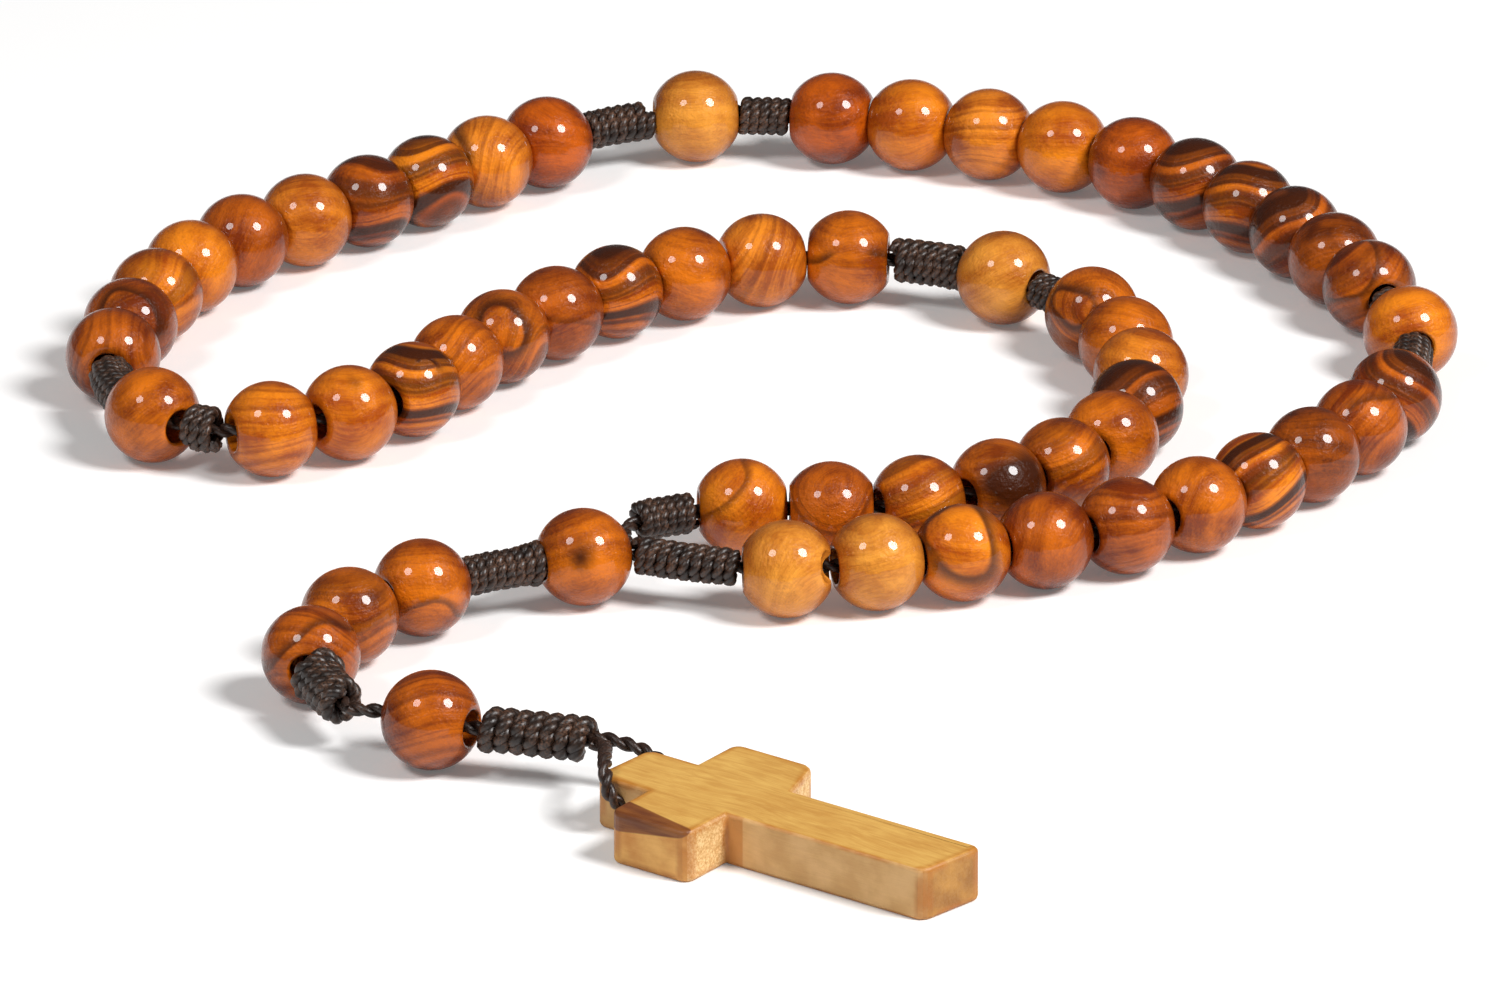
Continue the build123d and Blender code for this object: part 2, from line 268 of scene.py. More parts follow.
# %% Loop of cord through the cross
fork = Vector(lines["lower"].place(lines["lower"].length))
fork_side, fork_rise = (Vector(v) for v in lines["lower"].cross(lines["lower"].length))
fork_way = fork_side.cross(fork_rise)


def beside_knot(side, ahead):
    """A place just past the long knot's end, in metres."""
    return fork + fork_side * side * mm + fork_way * ahead * mm


def on_board(x, y, z):
    """A place in the cross's own frame, given in millimetres."""
    return cross_frame @ (Vector((x, y, z)) * mm)


near_strand = 0.65 if fork_side.y < 0 else -0.65
bore_height = board_thickness / 2
strand_side = shaft_side + 0.9
over_board = board_thickness + 0.7
cross_loop_route = [
    beside_knot(near_strand, 0),
    beside_knot(near_strand, 1.2),
    on_board(-4.6, 0.8, board_thickness + 0.2),
    on_board(-3.3, -1.0, over_board + 0.1),
    on_board(-0.9, -strand_side, over_board),
    on_board(0, -strand_side - 0.1, bore_height),
    on_board(0, strand_side + 0.1, bore_height),
    on_board(-3.2, strand_side + 0.3, bore_height + 1.4),
    beside_knot(-near_strand, 1.0),
    beside_knot(-near_strand, 0),
]
lines["cross_loop"] = smooth_line("cross_loop", cross_loop_route)
print("cross loop line is", round(lines["cross_loop"].length / mm, 1), "mm long")

# %% [markdown]
# ## Two-ply cord
# The cord is two plies twisted round each other. Each ply is a thin tube whose middle circles the cord's
# line once in every turn of the twist, half a turn behind the other ply. A straight tube with a
# striped picture would look flat from the side, and real plies give the scalloped outline and the
# slanted glints for nothing. A poly curve with a round bevel makes the tube, and it is then turned
# into a mesh so that every piece is of one kind.

# %% Plies and tubes
ply_radius = 0.34 * mm
ply_offset = 0.27 * mm
twist_length = 3.0 * mm
steps_per_twist = 11


def plies(line):
    """The middles of two plies that twist round a line."""
    turns = line.length / twist_length
    count = ceil(turns * steps_per_twist)
    paths = [[], []]
    for step in range(count + 1):
        share = step / count
        distance = line.length * share
        place = line.place(distance)
        side, rise = line.cross(distance)
        for half, path in enumerate(paths):
            angle = 2 * pi * turns * share + pi * half
            path.append(place + (side * cos(angle) + rise * sin(angle)) * ply_offset)
    return paths


def tubes(name, paths, radius):
    """Round tubes along lists of points, as one mesh."""
    data = bpy.data.curves.new(name, "CURVE")
    data.dimensions = "3D"
    data.bevel_depth = radius
    data.bevel_resolution = 2
    data.use_fill_caps = True
    for path in paths:
        spline = data.splines.new("POLY")
        spline.points.add(len(path) - 1)
        for point, place in zip(spline.points, path):
            point.co = (*place, 1)
    mesh = mesh_of_curve(name, data)
    mesh.name = name
    mesh.shade_smooth()
    return mesh


def piece(name, mesh, body, material, node):
    """A finished piece: placed in its mesh, riding on a body, standing for its solid."""
    mesh.materials.clear()
    mesh.materials.append(material)
    made = placed(name, mesh)
    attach(made, body)
    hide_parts(node)
    return made


print("ply turns on the loop:", round(lines["loop"].length / twist_length, 1))

# %% [markdown]
# ## Shader helpers
# Materials are graphs of small nodes. They could be wired one by one with nodes.new and links.new, but
# a recipe of fifty nodes would then be hard to follow. The first helper adds any node with its values
# and links, and the others are built on it: sums, soft steps, and colours between two others.

# %% Node helpers
def add_node(tree, kind, inputs=None, **settings):
    """A node with its settings, and each input given a value or a link."""
    made = tree.nodes.new(kind)
    for key, value in settings.items():
        setattr(made, key, value)
    for key, value in (inputs or {}).items():
        if isinstance(value, bpy.types.NodeSocket):
            tree.links.new(value, made.inputs[key])
        else:
            made.inputs[key].default_value = value
    return made


def calc(tree, operation, first, second=0.0, clamp=False):
    """A Math node's result."""
    made = add_node(tree, "ShaderNodeMath", {0: first, 1: second}, operation=operation, use_clamp=clamp)
    return made.outputs[0]


def vector_calc(tree, operation, first, second=None):
    """A Vector Math node's result: a number for a length or a dot product, and else a vector."""
    inputs = {0: first}
    if second is not None:
        inputs["Scale" if operation == "SCALE" else 1] = second
    made = add_node(tree, "ShaderNodeVectorMath", inputs, operation=operation)
    return made.outputs["Value" if operation in ("LENGTH", "DOT_PRODUCT") else "Vector"]


def parts_of(tree, vector):
    """The three numbers of a vector."""
    return add_node(tree, "ShaderNodeSeparateXYZ", {0: vector}).outputs


def fade(tree, value, low, high):
    """0 below the low value, 1 above the high one, and smooth between."""
    made = add_node(tree, "ShaderNodeMapRange", {0: value, 1: low, 2: high},
                    interpolation_type="SMOOTHSTEP")
    return made.outputs[0]


def mix(tree, share, first, second, blend="MIX"):
    """A colour between two others."""
    made = add_node(tree, "ShaderNodeMix", {0: share, 6: first, 7: second},
                    data_type="RGBA", blend_type=blend, clamp_factor=True)
    return made.outputs[2]


print("node helpers: add_node, calc, vector_calc, parts_of, fade, mix")

# %% [markdown]
# ## Noise, mesh layers and paints
# Nearly every pattern on this rosary starts from noise, in space for clouds and fibres and along one
# number for growth rings. What is different from bead to bead is read from attributes, which are
# values written on the mesh. Paints are written as six hexadecimal digits, as on a colour chart, and
# turned into the linear numbers that a renderer adds up.

# %% Pattern helpers
def noise_in(tree, place, scale, detail, roughness=0.5):
    """Noise in space: its value is the first output, and Color holds three of them."""
    return add_node(tree, "ShaderNodeTexNoise",
                    {"Vector": place, "Scale": scale, "Detail": detail, "Roughness": roughness}).outputs


def noise_along(tree, distance, scale, detail, roughness=0.5):
    """Noise that changes along one number only."""
    made = add_node(tree, "ShaderNodeTexNoise",
                    {"W": distance, "Scale": scale, "Detail": detail, "Roughness": roughness},
                    noise_dimensions="1D")
    return made.outputs[0]


def attribute(tree, name, output="Vector"):
    """What is written on the mesh under a name."""
    return add_node(tree, "ShaderNodeAttribute", attribute_name=name).outputs[output]


def new_material(name):
    """An empty material, with its node tree and its Principled shader."""
    material = bpy.data.materials.new(name)
    material.use_nodes = True
    return material, material.node_tree, material.node_tree.nodes["Principled BSDF"]


def paint(code):
    """A colour written as six hexadecimal digits, in linear light."""
    channels = [int(code[k : k + 2], 16) / 255 for k in (0, 2, 4)]
    return [c / 12.92 if c <= 0.04045 else ((c + 0.055) / 1.055) ** 2.4 for c in channels] + [1.0]


print("paint D9983F is", [round(value, 3) for value in paint("D9983F")])

# %% [markdown]
# ## Node groups, and one dark ring or spot
# A node group is a recipe that several materials share, each with its own values. Wood is used on the
# beads and on the cross, so it is made as a group. Some beads also show an eye or a single arc where
# a small branch left the trunk. Noise can't be told to put an eye in one place, so a mask draws it
# round a given middle. It wanders, its inner side is crisp, and outwards it fades slowly, as
# late wood does.

# %% Group helper and own ring
def new_group(name, inputs, outputs):
    """An empty node group with its sockets, and its two end nodes."""
    tree = bpy.data.node_groups.new(name, "ShaderNodeTree")
    for label, kind in inputs:
        tree.interface.new_socket(label, in_out="INPUT", socket_type="NodeSocket" + kind)
    for label, kind in outputs:
        tree.interface.new_socket(label, in_out="OUTPUT", socket_type="NodeSocket" + kind)
    return tree, tree.nodes.new("NodeGroupInput").outputs, tree.nodes.new("NodeGroupOutput").inputs


def own_ring(tree, mark, ring, curl):
    """How much of one dark ring or spot shows here, from 0 to its strength."""
    wander = vector_calc(tree, "SCALE", vector_calc(tree, "SUBTRACT", curl["Color"], (0.5, 0.5, 0.5)), 3.0)
    reach = vector_calc(tree, "LENGTH", vector_calc(tree, "ADD", mark, wander))
    radius, width, strength = parts_of(tree, ring)
    beyond = calc(tree, "SUBTRACT", reach, radius)
    off_ring = calc(tree, "MAXIMUM", beyond, calc(tree, "MULTIPLY", beyond, -3.0))
    on_ring = calc(tree, "SUBTRACT", 1.0, calc(tree, "DIVIDE", off_ring, width), clamp=True)
    shown = calc(tree, "MULTIPLY", fade(tree, on_ring, 0.0, 1.0), strength)
    return calc(tree, "MULTIPLY", shown, fade(tree, curl[0], 0.3, 0.45))


print("a ring of its own takes a middle, a radius, a width and a strength")

# %% [markdown]
# ## Olive wood, as a node group
# Olive wood has uneven growth rings with dark heartwood streaks, and it is never straight. The group
# takes a place in the tree, given to it in millimetres, and bends it a little with noise. The
# distance from the tree's middle then picks a band out of noise with one dimension, which gives rings
# of uneven width. A ready wave texture would space them evenly, and that looks printed. Long thin
# fibres and a slow change of tone lie over the rings. The group puts out a colour, a height and a
# fibre mask, and the material decides how shiny they are.

# %% Olive wood group
def olive_wood_group():
    """Growth rings, dark streaks, fibres and one ring of its own, at a place in the tree in mm."""
    tree, given, result = new_group(
        "olive wood",
        [("Place", "Vector"), ("Light", "Color"), ("Dark", "Color"), ("Streak", "Color"),
         ("Contrast", "Float"), ("Streaks", "Float"), ("Lines", "Float"), ("Spacing", "Float"),
         ("Bend", "Float"), ("Mottle", "Float"), ("Mark", "Vector"), ("Ring", "Vector")],
        [("Colour", "Color"), ("Height", "Float"), ("Fibre", "Float")],
    )
    # the tree's rings, bent
    bend = noise_in(tree, given["Place"], 0.09, 1.0)
    shifted = vector_calc(tree, "SUBTRACT", bend["Color"], (0.5, 0.5, 0.5))
    place = vector_calc(tree, "ADD", given["Place"], vector_calc(tree, "SCALE", shifted, given["Bend"]))
    from_heart = vector_calc(tree, "LENGTH", vector_calc(tree, "MULTIPLY", place, (1, 1, 0)))
    ring = calc(tree, "DIVIDE", from_heart, given["Spacing"])
    band = fade(tree, noise_along(tree, ring, 1.0, 3.0, 0.6), 0.3, 0.7)
    # broad and thin dark streaks that follow the rings
    late = calc(tree, "ADD", calc(tree, "MULTIPLY", ring, 0.55), 31.7)
    broad = fade(tree, noise_along(tree, late, 1.0, 2.0), 0.46, 0.66)
    broad = calc(tree, "MULTIPLY", broad, given["Streaks"])
    thin = noise_along(tree, calc(tree, "ADD", ring, 57.3), 1.3, 1.0)
    line = calc(tree, "MULTIPLY", fade(tree, thin, 0.6, 0.74), given["Lines"])
    curl = noise_in(tree, given["Place"], 0.2, 0.5)
    mark = own_ring(tree, given["Mark"], given["Ring"], curl)
    streak = calc(tree, "MAXIMUM", calc(tree, "MAXIMUM", broad, line), mark)
    # long fibres along the trunk, and a slow change of tone
    squeezed = vector_calc(tree, "MULTIPLY", place, (7.0, 7.0, 0.6))
    fibre = fade(tree, noise_in(tree, squeezed, 1.0, 3.0)[0], 0.3, 0.7)
    slow = noise_in(tree, given["Place"], 0.24, 3.0)
    centred = calc(tree, "MULTIPLY", calc(tree, "SUBTRACT", band, 0.42), given["Contrast"])
    fine = calc(tree, "MULTIPLY", calc(tree, "SUBTRACT", fibre, 0.5), 0.3)
    drift = calc(tree, "MULTIPLY", calc(tree, "SUBTRACT", slow[0], 0.5), given["Mottle"])
    share = calc(tree, "ADD", calc(tree, "ADD", centred, fine), calc(tree, "ADD", drift, 0.42), clamp=True)
    wood = mix(tree, share, given["Light"], given["Dark"])
    tree.links.new(mix(tree, streak, wood, given["Streak"]), result["Colour"])
    tree.links.new(calc(tree, "ADD", calc(tree, "MULTIPLY", fibre, 0.6), share), result["Height"])
    tree.links.new(fibre, result["Fibre"])
    return tree


olive_wood = olive_wood_group()
print("olive wood has", len(olive_wood.nodes), "nodes")

# %% [markdown]
# ## Lacquered beads
# Each bead is cut from another part of the tree, so the pattern's place and its tones come from the
# bead's own mesh, as attributes. One material then serves every bead and none look alike. The beads
# were dipped in lacquer, which makes them glossy and leaves the gloss a little uneven: a clear coat
# over the wood, with a shallow bump from noise a millimetre across that breaks up the reflected
# lamps.

# %% Bead material
dark_streak = paint("441C06")
# the dark red that each bead's rim is multiplied by: painted shade at its edges
rim_shade_tint = (0.46, 0.34, 0.25, 1)


def bead_material(name, waviness):
    """Lacquered olive wood, with its pattern and tones read from the bead's own mesh."""
    material, tree, shader = new_material(name)
    place = attribute(tree, "grain")
    contrast, streaks, spacing = parts_of(tree, attribute(tree, "figure"))
    wood = add_node(tree, "ShaderNodeGroup", node_tree=olive_wood, inputs={
        "Place": place, "Light": attribute(tree, "light_wood", "Color"),
        "Dark": attribute(tree, "dark_wood", "Color"), "Streak": dark_streak, "Contrast": contrast,
        "Streaks": streaks, "Spacing": spacing, "Lines": attribute(tree, "lines", "Fac"),
        "Bend": waviness, "Mottle": 2.8, "Mark": attribute(tree, "mark"), "Ring": attribute(tree, "ring"),
    })
    # seen slantwise the lacquer is thicker, and the rim of the bead is also painted darker and redder there,
    # as painted shade towards its edges
    slant = add_node(tree, "ShaderNodeLayerWeight", {"Blend": 0.5}).outputs["Facing"]
    rim = calc(tree, "MULTIPLY", fade(tree, slant, 0.1, 0.9), 0.9)
    colour = mix(tree, rim, wood.outputs["Colour"], rim_shade_tint, "MULTIPLY")
    tree.links.new(colour, shader.inputs["Base Color"])
    ripple = noise_in(tree, place, 2.2, 3.0, 0.6)
    height = calc(tree, "ADD", calc(tree, "MULTIPLY", wood.outputs["Height"], 0.08), ripple[0])
    bump = add_node(tree, "ShaderNodeBump", {"Height": height, "Strength": 1.0, "Distance": 0.14 * mm})
    tree.links.new(bump.outputs[0], shader.inputs["Normal"])
    gloss = calc(tree, "ADD", calc(tree, "MULTIPLY", wood.outputs["Fibre"], 0.12), 0.26)
    tree.links.new(gloss, shader.inputs["Roughness"])
    shader.inputs["Specular IOR Level"].default_value = 0.12
    shader.inputs["Coat Weight"].default_value = 0.55
    shader.inputs["Coat Roughness"].default_value = 0.04
    return material


bead_wood = bead_material("bead wood", 7.0)
large_bead_wood = bead_material("large bead wood", 5.0)
print("bead materials:", bead_wood.name, "and", large_bead_wood.name)

# %% [markdown]
# ## Waxed cord
# The cord is dark brown, nearly black between the plies, and its wax gives it pale glints along the
# upper edges. Fine noise changes the brown from place to place and roughens the gloss, which is how
# the fibres show at this size. The knots get the same recipe with more contrast between its two
# browns, because their lobes lie closer and shade each other.

# %% Cord group and materials
def waxed_fibre_group():
    """Brown fibres with uneven wax, at a place in metres."""
    tree, given, result = new_group(
        "waxed fibre",
        [("Place", "Vector"), ("Dark", "Color"), ("Light", "Color")],
        [("Colour", "Color"), ("Height", "Float"), ("Gloss", "Float")],
    )
    fluff = noise_in(tree, given["Place"], 5200.0, 2.0, 0.7)[0]
    patch = noise_in(tree, given["Place"], 700.0, 2.0)[0]
    both = calc(tree, "MULTIPLY", fade(tree, fluff, 0.35, 0.75), fade(tree, patch, 0.3, 0.7))
    tree.links.new(mix(tree, both, given["Dark"], given["Light"]), result["Colour"])
    tree.links.new(fluff, result["Height"])
    tree.links.new(calc(tree, "ADD", calc(tree, "MULTIPLY", fluff, 0.35), 0.22), result["Gloss"])
    return tree


waxed_fibre = waxed_fibre_group()


def cord_material(name, dark, light):
    """Waxed cord in two browns."""
    material, tree, shader = new_material(name)
    place = add_node(tree, "ShaderNodeTexCoord").outputs["Object"]
    fibre = add_node(tree, "ShaderNodeGroup", node_tree=waxed_fibre,
                     inputs={"Place": place, "Dark": paint(dark), "Light": paint(light)})
    tree.links.new(fibre.outputs["Colour"], shader.inputs["Base Color"])
    tree.links.new(fibre.outputs["Gloss"], shader.inputs["Roughness"])
    bump = add_node(tree, "ShaderNodeBump",
                    {"Height": fibre.outputs["Height"], "Strength": 0.5, "Distance": 0.05 * mm})
    tree.links.new(bump.outputs[0], shader.inputs["Normal"])
    return material


waxed_cord = cord_material("waxed cord", "241610", "54382A")
waxed_knot = cord_material("waxed knot", "1E130E", "6E4C38")
print("cord materials:", waxed_cord.name, "and", waxed_knot.name)

# %% [markdown]
# ## Stringing the cord
# The loop's cord runs through all the beads of the five decades, and both its ends go into the junction
# bead. The pendant's cord is in three stretches, because the pendant can bend at the ends of its bare
# bit. The bare link and the loop through the cross are short stretches of their own.

# %% Cords
cord_pieces = [
    ("loop_cord_plies", "loop", "loop", "loop_cord"),
    ("pendant_cord_upper_plies", "upper", "pendant_upper", "pendant_cord_upper"),
    ("pendant_link_plies", "link", "pendant_link", "pendant_link_cord"),
    ("pendant_cord_lower_plies", "lower", "pendant_lower", "pendant_cord_lower"),
    ("cross_loop_plies", "cross_loop", "pendant_lower", "cross_loop"),
]
for name, route, body, node in cord_pieces:
    line = lines[route]
    made = piece(name, tubes(name, plies(line), ply_radius), body, waxed_cord, node)
    print(name, "faces:", len(made.data.polygons))

# %% [markdown]
# ## Where the knots are
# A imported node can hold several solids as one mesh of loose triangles. Welding a copy of it and walking
# from corner to corner parts them again. Each knot's solid then says where along the cord the knot
# starts and ends, and how thick it is.

# %% Parting a node into its solids
def separate_solids(node):
    """The corners of each solid in a node."""
    bm = bmesh.new()
    bm.from_mesh(frame["nodes"][node].data)
    bmesh.ops.remove_doubles(bm, verts=bm.verts, dist=0.001 * mm)
    waiting = set(bm.verts)
    found = []
    while waiting:
        reached = [waiting.pop()]
        corners = []
        while reached:
            vertex = reached.pop()
            corners.append(vertex.co.copy())
            for edge in vertex.link_edges:
                other = edge.other_vert(vertex)
                if other in waiting:
                    waiting.remove(other)
                    reached.append(other)
        found.append(corners)
    bm.free()
    return found


def knot_span(line, corners):
    """Start, end and outer radius of a knot along its cord, looked for near the knot's middle only."""
    around, _ = line.nearest(sum(corners, Vector()) / len(corners))
    spots = [line.nearest(corner, around) for corner in corners]
    return min(s[0] for s in spots), max(s[0] for s in spots), max(s[1] for s in spots)


knot_spans = [("loop", "loop", "loop_knots", *knot_span(lines["loop"], corners))
              for corners in separate_solids("loop_knots")]
knot_spans.sort(key=lambda span: span[3])
for route, number in (("upper", 1), ("upper", 2), ("lower", 3)):
    node = f"pendant_knot_{number}"
    knot_spans.append((route, f"pendant_{route}", node, *knot_span(lines[route], solid_points(node))))
for route, body, node, start, end, radius in knot_spans:
    print(node, "from", round(start / mm, 1), "to", round(end / mm, 1), "radius", round(radius / mm, 2))

# %% [markdown]
# ## Wrapped knots
# Each knot is the cord itself, wound tightly round the strands inside it. The middle of the winding is a
# spiral round the cord's line, about one cord thickness further along with every turn, and the two plies
# twist round that spiral. With a whole number of half twists to each turn the plies of
# neighbouring turns line up, which gives the even rows of slanting lobes. The winding starts and ends
# a little closer in, where the end of the cord is tucked under. A knot is soft, so its ends are
# pressed into the mouths of the beads beside it, and some swell there.

# %% Knot sizes
wrap_pitch = 1.0 * mm
wrap_ply_radius = 0.37 * mm
wrap_ply_offset = 0.22 * mm
steps_per_turn = 48
# at each end the winding rises from the tuck to its full reach in this many steps
tuck_steps = 9
tuck_depth = 0.2 * mm
looseness = 0.08 * mm
# a knot thicker than this has room for one more lobe in each turn
thick_knot = 1.7 * mm
# the two knots nearest the cross are wound coarser, so everything in them is larger
coarse_knots = {"pendant_knot_2": 1.2, "pendant_knot_3": 1.3}
# how far each end of a winding is pressed into the mouth of the bead beside it. The first pendant knot is
# drawn up against the junction bead, and the last one stops short of its bead. The third number is how
# much a winding swells where it is squeezed against the bead at its start
end_press = (0.3 * mm, 0.3 * mm, 0)
own_press = {
    "pendant_knot_1": (1.4 * mm, 0.3 * mm, 0.3 * mm), "pendant_knot_2": (0.6 * mm, 0.1 * mm, 0.5 * mm),
    "pendant_knot_3": (-0.25 * mm, 0.3 * mm, 0),
}
print("knots wound coarser:", list(coarse_knots))

# %% [markdown]
# ## Winding a knot
# The path is worked out step by step. One angle carries the winding round the cord, and another one
# carries the plies round the winding. A screw modifier could sweep a spiral too, but it can't follow
# a bent cord. A little noise moves each turn in or out, because no hand winds evenly.

# %% Knots
def winding(line, start, end, radius, swell, seed, coarse):
    """The two plies of a cord wound round a stretch of the line, and the number of turns."""
    ply_offset = coarse * wrap_ply_offset
    thickness = coarse * wrap_ply_radius + ply_offset
    turns = max(2, round((end - start) / (coarse * wrap_pitch) - 0.5))
    lobes = 9 if radius > thick_knot else 8
    count = turns * steps_per_turn
    paths = [[], []]
    for step in range(count + 1):
        share = step / count
        distance = start + thickness + (end - start - 2 * thickness) * share
        angle = -2 * pi * turns * share - seed
        tuck = tuck_depth * (1 - min(1, step / tuck_steps, (count - step) / tuck_steps))
        loose = noise.noise((seed * 3.1, angle * 0.4, 0.0)) * looseness
        reach = radius - thickness - tuck + loose + swell * max(0, 1 - 4 * share)
        side, rise = line.cross(distance)
        outward = side * cos(angle) + rise * sin(angle)
        onward = np.cross(side, rise)
        for half, path in enumerate(paths):
            twist = -angle * lobes / 2 + pi * half
            apart = outward * cos(twist) + onward * sin(twist)
            path.append(line.place(distance) + outward * reach + apart * ply_offset)
    return paths, turns


for number, (route, body, node, start, end, radius) in enumerate(knot_spans, 1):
    at_start, at_end, swell = own_press.get(node, end_press)
    coarse = coarse_knots.get(node, 1)
    seed = number * 1.7
    paths, turns = winding(lines[route], start - at_start, end + at_end, radius, swell, seed, coarse)
    name = f"{node}_winding_{number}"
    made = piece(name, tubes(name, paths, coarse * wrap_ply_radius), body, waxed_knot, node)
    print(name, "turns:", turns, "faces:", len(made.data.polygons))

# %% [markdown]
# ## One bead
# A bead is a ball turned on a lathe, with its ends cut flat and a hole bored through. It starts as a UV
# sphere whose poles lie on the bore, so both flat ends are plain cuts across it. Each cut's rim is
# drawn in to the bore's mouth, the two mouths are joined by a bridge for the bore's wall, and bevels
# round the mouths and the rims. A boolean with a cylinder would also cut the hole, but it leaves
# ragged faces round the mouth, where the gloss would show them. The length is an input, because no
# two beads on the string are cut quite alike.

# %% Bead shape
bead_diameter = 8.0 * mm
bead_length = 6.7 * mm
bead_bore = 2.8 * mm
bead_edge_round = 0.22 * mm
sharp_angle = radians(40)


def round_edges(bm, edges, offset, segments):
    """A round bevel along some edges."""
    bmesh.ops.bevel(bm, geom=edges, offset=offset, offset_type="OFFSET", segments=segments, profile=0.5,
                    affect="EDGES", material=-1, clamp_overlap=True)


def turned_bead(length):
    """One bead about the origin, bored along Z."""
    bm = bmesh.new()
    bmesh.ops.create_uvsphere(bm, u_segments=48, v_segments=30, radius=bead_diameter / 2)
    mouths = []
    for end in (1, -1):
        cut = bmesh.ops.bisect_plane(
            bm, geom=bm.verts[:] + bm.edges[:] + bm.faces[:], dist=1e-7,
            plane_co=(0, 0, end * length / 2), plane_no=(0, 0, end), clear_outer=True)
        rim = [item for item in cut["geom_cut"] if isinstance(item, bmesh.types.BMEdge)]
        drawn = bmesh.ops.extrude_edge_only(bm, edges=rim)["geom"]
        mouth = [item for item in drawn if isinstance(item, bmesh.types.BMEdge)]
        corners = [item for item in drawn if isinstance(item, bmesh.types.BMVert)]
        rim_radius = max(corner.co.xy.length for corner in corners)
        factor = bead_bore / 2 / rim_radius
        bmesh.ops.scale(bm, vec=(factor, factor, 1), verts=corners)
        mouths += mouth
    bmesh.ops.bridge_loops(bm, edges=mouths)
    bmesh.ops.recalc_face_normals(bm, faces=bm.faces[:])
    sharp = [edge for edge in bm.edges if edge.is_manifold and edge.calc_face_angle() > sharp_angle]
    round_edges(bm, sharp, bead_edge_round, 3)
    return bm


def mesh_of_bmesh(name, bm):
    """A bmesh written out as a mesh, and freed."""
    mesh = bpy.data.meshes.new(name)
    bm.to_mesh(mesh)
    bm.free()
    return mesh


sample_bead = turned_bead(bead_length)
print("bead faces:", len(sample_bead.faces))
sample_bead.free()

# %% [markdown]
# ## Which wood each bead is cut from
# Every bead gets a tone, a figure and a tilt of the grain, given bead by bead. A tone is a light
# and a dark wood. A figure says how strong the rings are, how much dark streak runs in them, how wide
# they are, and where the middle of the tree lies from the bead: far below it, so that the rings cross
# it as stripes, or close by and facing the viewer, so that they show as an eye.

# %% Tones and figures
tones = {
    "pale": ("F09E3A", "B05E16"),
    "gold": ("F08C24", "A24C0E"),
    "orange": ("F08818", "A84A08"),
    "amber": ("DA7210", "883804"),
    "brown": ("C66210", "7A2E04"),
    "russet": ("CC5E0C", "803004"),
    "umber": ("B0540A", "5C2402"),
}
# contrast, broad streaks, thin lines, ring spacing in mm, (how far the tree's middle lies from the
# bead in mm: across, towards the viewer, up), and whether the rings face the viewer
figures = {
    "plain": (0.4, 0.0, 0.0, 1.6, (2, 3, -11), False),
    "bands": (0.65, 0.0, 0.2, 1.1, (2, 3, -12), False),
    "streaked": (0.75, 0.5, 0.5, 1.4, (1, 2, -12), False),
    "striped": (1.1, 1.0, 0.8, 1.2, (1, 2, -12), False),
    "rings": (0.7, 0.0, 0.4, 0.9, (0.5, 0, 2.0), True),
    "eye": (0.9, 0.5, 0.5, 1.1, (0.4, 0, 0.6), True),
}
